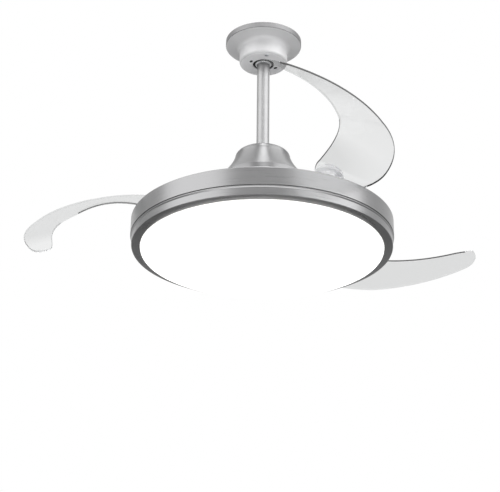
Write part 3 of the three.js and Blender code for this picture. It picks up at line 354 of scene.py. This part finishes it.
slotFinish = {
    "painted_silver": "silverPaint", "painted_white": "whitePaint", "steel": "zincSteel",
    "cast_aluminium": "castAluminium",
    "clear_blade": "clearBlade", "opal_diffuser": "opalGlow", "white_plastic": "whitePlastic",
    "grey_plastic": "greyPlastic", "dark_plastic": "darkPlastic", "rubber": "blackRubber",
    "copper": "enamelledCopper", "lamination": "laminatedSteel", "magnet": "sinteredMagnet",
}
# The seat ring is black: painted shade inside the canopy round the ball.
nodeFinish = {"seat_ring": "blackRubber"}
for number in (1, 2, 3):
    nodeFinish[f"blade_holder_{number}"] = nodeFinish[f"blade_clamp_{number}"] = "milkyPlastic"
for part in frame["record"]["subparts"]:
    node = frame["nodes"][part["node"]]
    node.data.materials.clear()
    chosen = nodeFinish.get(part["node"], slotFinish[part["material_slot"]])
    node.data.materials.append(finish[chosen])


# Canopy, ball and rod.
canopy = {"rimHeight": 0.0115, "dishDrop": 0.005, "cupRadius": 0.048, "wall": 0.0015,
          "holeRadius": 0.021, "rimRound": 0.002, "cupRound": 0.006, "fillet": 0.009,
          "slotCircle": 0.0275, "slotAzimuth": 27, "slotHalf": 0.0015, "slotRound": 0.0027,
          "slotDepth": 0.0011, "slotEdge": 0.0003}


def slotNearness(x, y):
    # 1 inside either slot and 0 outside, by distance from its middle line.
    azimuth = math.radians(canopy["slotAzimuth"])
    outward = np.abs(x * math.cos(azimuth) + y * math.sin(azimuth)) - canopy["slotCircle"]
    across = np.abs(y * math.cos(azimuth) - x * math.sin(azimuth)) - canopy["slotHalf"]
    away = np.hypot(outward, np.maximum(across, 0))
    return np.clip((canopy["slotRound"] - away) / canopy["slotEdge"] + 0.5, 0, 1)


def makeCanopy():
    low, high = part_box("canopy")
    radius = nodeRadius("canopy")
    cup, wall = canopy["cupRadius"], canopy["wall"]
    rim = high.z - canopy["rimHeight"]
    dish = rim - canopy["dishDrop"]
    corners = [
        (radius, high.z, 0.0003), (radius, rim, canopy["rimRound"]), (cup, dish, canopy["fillet"]),
        (cup, low.z, canopy["cupRound"]), (canopy["holeRadius"], low.z, 0.0004),
        (canopy["holeRadius"], low.z + wall, 0.0004), (cup - wall, low.z + wall, 0.002),
        (cup - wall, dish + wall, 0.008), (radius - wall, rim + wall, 0.0015),
        (radius - wall, high.z, 0.0003)]

    def pressSlots(points):
        x, y, z = points[..., 0], points[..., 1], points[..., 2]
        points[..., 2] = z + canopy["slotDepth"] * slotNearness(x, y) * (z < low.z + 1e-4)
        return points

    piece = turnedPiece("canopyShell", corners, finish["silverPaint"], "ceiling_mount",
                        ["canopy"], sides=480, steps=10, level=(low.z, 60),
                        shape=pressSlots)
    slotLow = low.z + canopy["slotDepth"] + 0.0002
    # The rim band is given a darker metal: painted shade.
    paintFaces(piece, finish["silverMetal"], lambda r, x, y, z: (r > radius - 0.0008) & (z > rim))
    # The cup's bottom is given a lighter paint: painted light, where the drum shades it.
    paintFaces(piece, finish["silverCup"], lambda r, x, y, z: z < low.z + wall / 2)
    # The shallow pressed slots are painted black: painted shade of open slots.
    paintFaces(piece, finish["blackRubber"],
               lambda r, x, y, z: (slotNearness(x, y) > 0.3) & (z < slotLow))


ball = {"paintedShadeRadius": 0.0162, "boreGap": 0.0003, "arcPoints": 25}


def makeBall():
    # Outside a small pale cap the ball is painted black: painted shade of the gap round it in the canopy's
    # hole.
    low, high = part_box("hanger_ball")
    middle, radius = (low.z + high.z) / 2, nodeRadius("hanger_ball")
    bore = nodeRadius("downrod") + ball["boreGap"]
    latitude = math.asin((high.z - middle) / radius)
    arc = np.linspace(-latitude, latitude, ball["arcPoints"])
    corners = [(radius * math.cos(a), middle + radius * math.sin(a), 0.0002) for a in arc]
    corners += [(bore, high.z, 0.0004), (bore, low.z, 0.0004)]
    piece = turnedPiece("hangerBall", corners, finish["palePlastic"], "hanging",
                        ["hanger_ball"], sides=160, steps=2)
    paintFaces(piece, finish["blackRubber"], lambda r, x, y, z: r > ball["paintedShadeRadius"])


rod = {"wall": 0.0018}


def makeRod():
    low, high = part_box("downrod")
    radius = nodeRadius("downrod")
    bore = radius - rod["wall"]
    corners = [(radius, low.z, 0.0003), (radius, high.z, 0.0003), (bore, high.z, 0.0003),
               (bore, low.z, 0.0003)]
    turnedPiece("rodTube", corners, finish["silverTube"], "hanging",
                        ["downrod"], sides=128)


makeCanopy()
makeBall()
makeRod()
print("ceiling end made")

bell = {"topRadius": 0.051, "shoulder": 0.015, "flatRadius": 0.033, "lip": 0.019, "slope": 0.0716,
        "wall": 0.0015, "hole": 0.0131, "footPoints": 26, "shoulderPoints": 10}


def makeBell():
    # A quarter ellipse for the shoulder, then a radius that grows with the drop below the top as
    # a parabola, down to a straight lip.
    low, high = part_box("bell_cover")
    foot = high.z - low.z - bell["lip"]
    growth = (nodeRadius("bell_cover") - bell["topRadius"] - bell["slope"] * foot) / foot ** 2
    drop = np.linspace(bell["shoulder"], foot, bell["footPoints"])
    radius = bell["topRadius"] + bell["slope"] * drop + growth * drop ** 2
    turn = np.linspace(0, math.pi / 2, bell["shoulderPoints"] + 1)[:-1]
    drop = np.concatenate([bell["shoulder"] * (1 - np.cos(turn)), drop])
    shoulder = bell["flatRadius"] + (radius[0] - bell["flatRadius"]) * np.sin(turn)
    radius = np.concatenate([shoulder, radius])
    wall, top = bell["wall"], high.z
    corners = [(bell["hole"], top, 0.0004)]
    corners += [(r, top - d, 0.0002) for r, d in zip(radius, drop)]
    corners += [(radius[-1], low.z, 0.0005), (radius[-1] - wall, low.z, 0.0005)]
    corners += [(r - wall, top - wall - d, 0.0002) for r, d in zip(radius[::-1], drop[::-1])]
    corners += [(bell["hole"], top - wall, 0.0004)]
    turnedPiece("bellShell", corners, finish["silverBell"], "hanging",
                ["bell_cover"], steps=1)


makeBell()
print("bell made")

# Motor case and hub, seen between the bell and the drum from the side.
motor = {"wall": 0.0025, "corner": 0.003, "mouth": 0.013}
hub = {"topRadius": 0.074, "reach": 0.0063, "wall": 0.0032, "inset": 0.006, "gap": 0.0003}


def makeMotorShell(node, name, side):
    low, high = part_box(node)
    radius, wall, corner = nodeRadius(node), motor["wall"], motor["corner"]
    flat, lip = (high.z, low.z) if side > 0 else (low.z, high.z)
    corners = [
        (motor["mouth"], flat, 0.0004), (radius, flat, corner), (radius, lip, 0.0003),
        (radius - wall, lip, 0.0003), (radius - wall, flat - side * wall, 0.001),
        (motor["mouth"], flat - side * wall, 0.0004)]
    turnedPiece(name, corners, finish["castAluminium"], "rotor", [node])


def makeHub():
    low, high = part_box("rotor_hub")
    flange, wall = nodeRadius("rotor_hub"), hub["wall"]
    collar = flange - hub["reach"]
    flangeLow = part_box("sync_ring")[1].z + hub["gap"]
    flangeHigh = flangeLow + wall
    corners = [
        (motor["mouth"], high.z, 0.0004), (hub["topRadius"], high.z, 0.002),
        (collar - hub["inset"], flangeHigh, 0.003), (flange, flangeHigh, 0.001),
        (flange, flangeLow, 0.0006), (collar, flangeLow, 0.0004), (collar, low.z, 0.0004),
        (collar - wall, low.z, 0.0004), (collar - wall, flangeLow, 0.001),
        (hub["topRadius"] - wall / 2, high.z - wall, 0.002), (motor["mouth"], high.z - wall, 0.0004)]
    turnedPiece("hubCone", corners, finish["castAluminium"], "rotor", ["rotor_hub"])


makeMotorShell("rotor_upper_shell", "upperCase", 1)
makeMotorShell("rotor_lower_shell", "lowerCase", -1)
makeHub()
print("motor case made")

# Drum: turning tray above, lamp body, trim ring and diffuser below.
tray = {"wall": 0.0016, "rim": 0.0018, "deckSink": 0.005, "deckThickness": 0.002, "hole": 0.03}


def makeTray():
    low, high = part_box("blade_tray")
    radius, rim = nodeRadius("blade_tray"), tray["rim"]
    deck = high.z - tray["deckSink"]
    under = deck - tray["deckThickness"]
    corners = [
        (radius, low.z, 0.0006), (radius, high.z, rim), (radius - 2 * rim, high.z, 0.0008),
        (radius - 2 * rim, deck, 0.001), (tray["hole"], deck, 0.0004), (tray["hole"], under, 0.0004),
        (radius - tray["wall"], under, 0.0008), (radius - tray["wall"], low.z, 0.0006)]
    turnedPiece("trayShell", corners, finish["brushedBand"], "rotor",
                ["blade_tray"], sides=320)


lamp = {"neck": 0.2445, "band": 0.2475, "bead": 0.0017, "beadHeight": 0.0042, "beadFlat": 0.002,
        "gap": 0.0008, "wall": 0.0016, "flange": 0.2415, "roof": 0.002, "hole": 0.0093}


def makeLampBody():
    low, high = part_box("lamp_body")
    neck, band, wall = lamp["neck"], lamp["band"], lamp["wall"]
    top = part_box("blade_tray")[0].z - lamp["gap"]
    beadLow = top - lamp["beadHeight"]
    corners = [
        (lamp["hole"], high.z, 0.0004), (neck, high.z, 0.001), (neck, top, 0.0006),
        (band + lamp["bead"], top, 0.0009), (band + lamp["bead"], top - lamp["beadFlat"], 0.0009),
        (band, beadLow, 0.0008), (band, low.z, 0.0006), (lamp["flange"], low.z, 0.0004),
        (lamp["flange"], low.z + wall, 0.0004), (band - wall, low.z + wall, 0.0006),
        (band - wall, top - wall, 0.0006), (neck - wall, top - wall, 0.0006),
        (neck - wall, high.z - lamp["roof"], 0.001), (lamp["hole"], high.z - lamp["roof"], 0.0004)]
    piece = turnedPiece("lampShell", corners, finish["brushedBand"], "hanging",
                        ["lamp_body"], sides=320)
    # The bead's outer face gets a lighter finish: a painted highlight.
    paintFaces(piece, finish["brightBead"], lambda r, x, y, z: (r > band + 0.0002) & (z > beadLow))


trim = {"inner": 0.231, "fall": 0.001, "edge": 0.0008, "collarHeight": 0.006, "collarGap": 0.0012,
        "collarWall": 0.0016, "lip": 0.0004}


def makeTrim():
    low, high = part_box("trim_ring")
    outer, inner, edge = nodeRadius("trim_ring"), trim["inner"], trim["edge"]
    top = high.z - trim["collarHeight"]
    collar = lamp["flange"] - trim["collarGap"]
    inside = collar - trim["collarWall"]
    bottom = top - edge - trim["fall"]
    corners = [
        (outer, top, 0.0003), (outer, top - edge, 0.0005), (inner, bottom, 0.0005),
        (inner, top - trim["lip"], 0.0003), (inside, top - trim["lip"], 0.0004),
        (inside, high.z, 0.0004), (collar, high.z, 0.0004), (collar, top, 0.0004)]
    # The trim ring's darker finish is painted shade on its downward bevel.
    turnedPiece("trimShell", corners, finish["darkBevel"], "lamp_cover",
                ["trim_ring"], sides=320)


dish = {"wallRadius": 0.2303, "wall": 0.0025, "edgeInset": 0.0036, "shoulderDrop": 0.0068,
        "flatShare": 0.7, "flatRise": 0.0008, "flange": 0.002, "wallDrop": 0.002}


def makeDiffuser():
    # Flange, short wall and a dish that is nearly flat to a rounded shoulder.
    low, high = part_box("diffuser")
    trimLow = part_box("trim_ring")[0].z
    rim, wallRadius, wall = nodeRadius("diffuser"), dish["wallRadius"], dish["wall"]
    edge, shoulder = wallRadius - dish["edgeInset"], trimLow - dish["shoulderDrop"]
    flatRadius, flatHeight = dish["flatShare"] * edge, low.z + dish["flatRise"]
    flangeLow = high.z - dish["flange"]
    corners = [
        (0, low.z, 0), (flatRadius, flatHeight, 0.05), (edge, shoulder, 0.006),
        (wallRadius, trimLow - dish["wallDrop"], 0.002), (wallRadius, flangeLow, 0.0004),
        (rim, flangeLow, 0.0004), (rim, high.z, 0.0004), (wallRadius - wall, high.z, 0.001),
        (edge - wall, shoulder + wall, 0.004), (flatRadius, flatHeight + wall, 0.05),
        (0, low.z + wall, 0)]
    turnedPiece("diffuserDish", corners, finish["opalGlow"], "lamp_cover",
                ["diffuser"])


makeTray()
makeLampBody()
makeTrim()
makeDiffuser()
print("drum made")

# Lengths in metres, angles in degrees. Line ranges are shares of the length, one for each blade; the dark and
# faint lines on the rims are painted shade.
blade = {
    "count": 3, "pivotRadius": 0.2, "pivotAzimuth": 67.1, "foldAngle": 84.2, "thickness": 0.003,
    "outer": 0.279, "lift": 0.0136, "tipRise": 0.031, "riseFrom": 0.5, "rise": 1.2,
    "reachStart": 60, "reachSpan": 101, "rootPitch": 13.1, "midPitch": 23.1, "pitchShare": 0.4,
    "inner": (0.166, 0.0445, 0.032), "rootEnd": 77, "tipEnd": -42.6, "rootMiddle": 0.215,
    "tipMiddle": 0.252, "rootOuterRound": 27, "rootInnerRound": 17, "tipRound": 9,
    "along": 260, "across": 24, "rimSteps": 6, "endGap": 0.004, "rimRound": 0.0009,
    "edgeBand": 0.011, "wideLine": (False, False, True),
    "darkOuter": ((0, 0), (0, 0), (0.12, 0.96)), "darkInner": ((0.05, 0.97), (0.05, 0.55), (0.05, 0.5)),
    "faintOuter": ((0, 0), (0.7, 1), (0, 0.12)), "faintInner": ((0.97, 1), (0.7, 1), (0, 0)),
}


def bladeSheet(share, side, offset):
    # In its folded place: share runs from root to tip by azimuth, side from inner to outer edge,
    # and offset lies across the thickness. Both edges close on a middle radius at the round ends.
    # Height is level along the drum, rises over the last half, and climbs inwards at a pitch that
    # grows over the first part of the length.
    azimuth = blade["rootEnd"] + (blade["tipEnd"] - blade["rootEnd"]) * share
    reach = np.maximum(0, (blade["reachStart"] - azimuth) / blade["reachSpan"])
    inner = blade["inner"][0] + blade["inner"][1] * reach + blade["inner"][2] * reach ** 2

    def roundOff(past, length):
        return np.sqrt(1 - np.clip(past / length, 0, 1) ** 2)

    def fromRoot(length):
        return roundOff(azimuth - (blade["rootEnd"] - length), length)

    fromTip = roundOff(blade["tipEnd"] + blade["tipRound"] - azimuth, blade["tipRound"])
    rootMiddle, tipMiddle = blade["rootMiddle"], blade["tipMiddle"]
    outerEdge = rootMiddle + (blade["outer"] - rootMiddle) * fromRoot(blade["rootOuterRound"])
    innerEdge = rootMiddle + (inner - rootMiddle) * fromRoot(blade["rootInnerRound"])
    outerEdge = tipMiddle + (outerEdge - tipMiddle) * fromTip
    innerEdge = tipMiddle + (innerEdge - tipMiddle) * fromTip
    radius = innerEdge + (outerEdge - innerEdge) * side
    late = np.maximum(0, (reach - blade["riseFrom"]) / (1 - blade["riseFrom"]))
    early = np.minimum(reach / blade["pitchShare"], 1)
    pitch = np.radians(blade["rootPitch"] + (blade["midPitch"] - blade["rootPitch"]) * early * (2 - early))
    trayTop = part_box("blade_tray")[1].z
    height = trayTop + blade["lift"] + blade["tipRise"] * late ** blade["rise"]
    height = height + (blade["outer"] - radius) * np.tan(pitch) + offset
    turn = np.radians(azimuth)
    return np.stack([radius * np.cos(turn), radius * np.sin(turn), height], -1)


def turnAbout(points, centre, angle):
    c, s = math.cos(angle), math.sin(angle)
    flat = points[..., :2] - centre
    turned = np.stack([flat[..., 0] * c - flat[..., 1] * s, flat[..., 0] * s + flat[..., 1] * c], -1) + centre
    return np.concatenate([turned, points[..., 2:]], -1)


def makeBlade(index):
    # The section is a flat loop: under side outwards, round rim, upper side inwards, round rim.
    # The rims bulge by the cosine of their angle, from an edge that is drawn in by as much.
    half = blade["thickness"] / 2
    across, rimSteps, band = blade["across"], blade["rimSteps"], blade["edgeBand"]
    flat = np.concatenate([[0], np.linspace(band, 1 - band, across - 2), [1]])
    rim = np.linspace(-math.pi / 2, math.pi / 2, rimSteps + 2)[1:-1]
    side = np.concatenate([flat, np.ones(rimSteps), flat[::-1], np.zeros(rimSteps)])
    offset = np.concatenate([np.full(across, -half), half * np.sin(rim),
                             np.full(across, half), half * np.sin(-rim)])
    bulge = np.concatenate([np.zeros(across), np.cos(rim), np.zeros(across), -np.cos(rim)])
    drawnIn = np.sign(side - 0.5) * (np.abs(side - 0.5) == 0.5)
    share = np.linspace(blade["endGap"], 1 - blade["endGap"], blade["along"])
    share = (1 - np.cos(np.pi * share)) / 2
    points = bladeSheet(share[:, None], side[None, :], offset[None, :])
    direction = points[..., :2] / np.linalg.norm(points[..., :2], axis=-1, keepdims=True)
    points[..., :2] += direction * (blade["rimRound"] * (bulge - drawnIn))[None, :, None]
    azimuth = math.radians(blade["pivotAzimuth"])
    pivot = blade["pivotRadius"] * np.array([math.cos(azimuth), math.sin(azimuth)])
    points = turnAbout(points, pivot, math.radians(blade["foldAngle"]))
    points = turnAbout(points, np.zeros(2), 2 * math.pi * index / blade["count"])
    rows, columns = points.shape[:2]
    faces = gridFaces(rows, columns)
    openRows = faces.reshape(rows, columns, 4)[:-1].reshape(-1, 4)
    firstCap = np.stack([np.arange(across - 1), np.arange(1, across),
                         2 * across + rimSteps - 2 - np.arange(across - 1),
                         2 * across + rimSteps - 1 - np.arange(across - 1)], -1)
    lastCap = firstCap[:, ::-1] + (rows - 1) * columns
    faces = np.concatenate([openRows, firstCap, lastCap])
    piece = surfacePiece(f"clearBlade{index + 1}", points.reshape(-1, 3), faces,
                         finish["clearBlade"], f"blade_arm_{index + 1}",
                         [f"blade_{index + 1}"])
    piece.data.materials.append(finish["paintedRimShade"])
    piece.data.materials.append(finish["faintPaintedRimShade"])
    shadeRims(piece, index, rows, columns, share)


def shadeRims(piece, index, rows, columns, share):
    # Painted shade lines on the rims, dark and faint: by row along the blade, and by column round its
    # section.
    across, rimSteps = blade["across"], blade["rimSteps"]
    column = np.tile(np.arange(columns), rows - 1)
    row = np.repeat(share[:-1], columns)
    wide = int(blade["wideLine"][index])
    onOuter = (column >= across - 1 - wide) & (column < across + rimSteps + wide)
    onInner = column >= 2 * across + rimSteps - 1
    chosen = np.zeros(len(piece.data.polygons), np.int32)
    for slotIndex, tone in ((2, "faint"), (1, "dark")):
        for onEdge, edge in ((onOuter, "Outer"), (onInner, "Inner")):
            start, stop = blade[tone + edge][index]
            chosen[:len(column)][onEdge & (row >= start) & (row < stop)] = slotIndex
    piece.data.polygons.foreach_set("material_index", chosen)


for index in range(blade["count"]):
    makeBlade(index)
print("blades made")

# Fitted to the photograph: place in metres, angles in degrees, lens in millimetres.
view = {"place": (0.002457, -2.42774, -1.4969), "pitch": 23.3255, "turn": 0.595, "roll": 0.656,
        "lens": 100.3, "sensor": 36}


def makeCamera():
    pitch, turn, roll = (math.radians(view[key]) for key in ("pitch", "turn", "roll"))
    level = Vector((-math.sin(turn), math.cos(turn), 0))
    right = Vector((math.cos(turn), math.sin(turn), 0))
    forward = level * math.cos(pitch) + Vector((0, 0, math.sin(pitch)))
    up = Vector((0, 0, math.cos(pitch))) - level * math.sin(pitch)
    rolledRight = right * math.cos(roll) + up * math.sin(roll)
    rolledUp = up * math.cos(roll) - right * math.sin(roll)
    data = bpy.data.cameras.new("camera")
    data.lens, data.sensor_width = view["lens"], view["sensor"]
    data.clip_start, data.clip_end = 0.05, 50
    camera = bpy.data.objects.new("camera", data)
    axes = Matrix((rolledRight, rolledUp, -forward)).transposed()
    camera.matrix_world = Matrix.Translation(view["place"]) @ axes.to_4x4()
    bpy.context.collection.objects.link(camera)
    bpy.context.scene.camera = camera


# Azimuth from the camera's side and elevation in degrees, distance, width and height, watts.
softBoxes = {
    "leftBox": (-59, 26, 3, (3.1, 3.2), 60),
    "rightBox": (59, 26, 3, (3.2, 3.2), 84),
    "overheadStrip": (5, 74, 3, (0.9, 3.8), 66),
    "lowBox": (0, -74, 1.9, (3.2, 2.6), 72),
}
lightAim = (0, 0, -0.35)


def makeLights():
    for name, (azimuth, elevation, distance, size, power) in softBoxes.items():
        azimuth, elevation = math.radians(azimuth), math.radians(elevation)
        level = math.cos(elevation)
        away = Vector((math.sin(azimuth) * level, -math.cos(azimuth) * level, math.sin(elevation)))
        data = bpy.data.lights.new(name, "AREA")
        data.shape = "RECTANGLE"
        data.size, data.size_y = size
        data.energy = power
        light = bpy.data.objects.new(name, data)
        light.location = Vector(lightAim) + away * distance
        light.rotation_euler = away.to_track_quat("Z", "Y").to_euler()
        light.visible_camera = False
        bpy.context.collection.objects.link(light)


studio = {"seen": 1.0, "light": 0.2}


def makeWorld():
    # White where the camera, metal and clear blades look, and a plain grey level as light.
    world = bpy.data.worlds.new("studio")
    bpy.context.scene.world = world
    world.use_nodes = True
    nodes, links = world.node_tree.nodes, world.node_tree.links
    background = nodes["Background"]
    background.inputs["Color"].default_value = (1, 1, 1, 1)
    path = nodes.new("ShaderNodeLightPath")
    shown = path.outputs["Is Camera Ray"]
    for ray in ("Is Transmission Ray", "Is Glossy Ray"):
        either = nodes.new("ShaderNodeMath")
        either.operation = "MAXIMUM"
        links.new(shown, either.inputs[0])
        links.new(path.outputs[ray], either.inputs[1])
        shown = either.outputs[0]
    level = nodes.new("ShaderNodeMapRange")
    level.inputs["To Min"].default_value = studio["light"]
    level.inputs["To Max"].default_value = studio["seen"]
    links.new(shown, level.inputs["Value"])
    links.new(level.outputs["Result"], background.inputs["Strength"])


ground = {"half": 6, "height": -2.3, "grey": 0.58}


def makeFloor():
    mesh = bpy.data.meshes.new("floor")
    half, height = ground["half"], ground["height"]
    corners = [(-half, -half, height), (half, -half, height), (half, half, height), (-half, half, height)]
    mesh.from_pydata(corners, [], [(0, 1, 2, 3)])
    floor = bpy.data.objects.new("floor", mesh)
    mesh.materials.append(plainFinish("paleFloor", (ground["grey"],) * 3, 0.0, 0.7, 40, 0.0002))
    bpy.context.collection.objects.link(floor)


makeCamera()
makeLights()
makeWorld()
makeFloor()
bpy.context.scene.view_settings.view_transform = "Standard"
print("camera and light made")
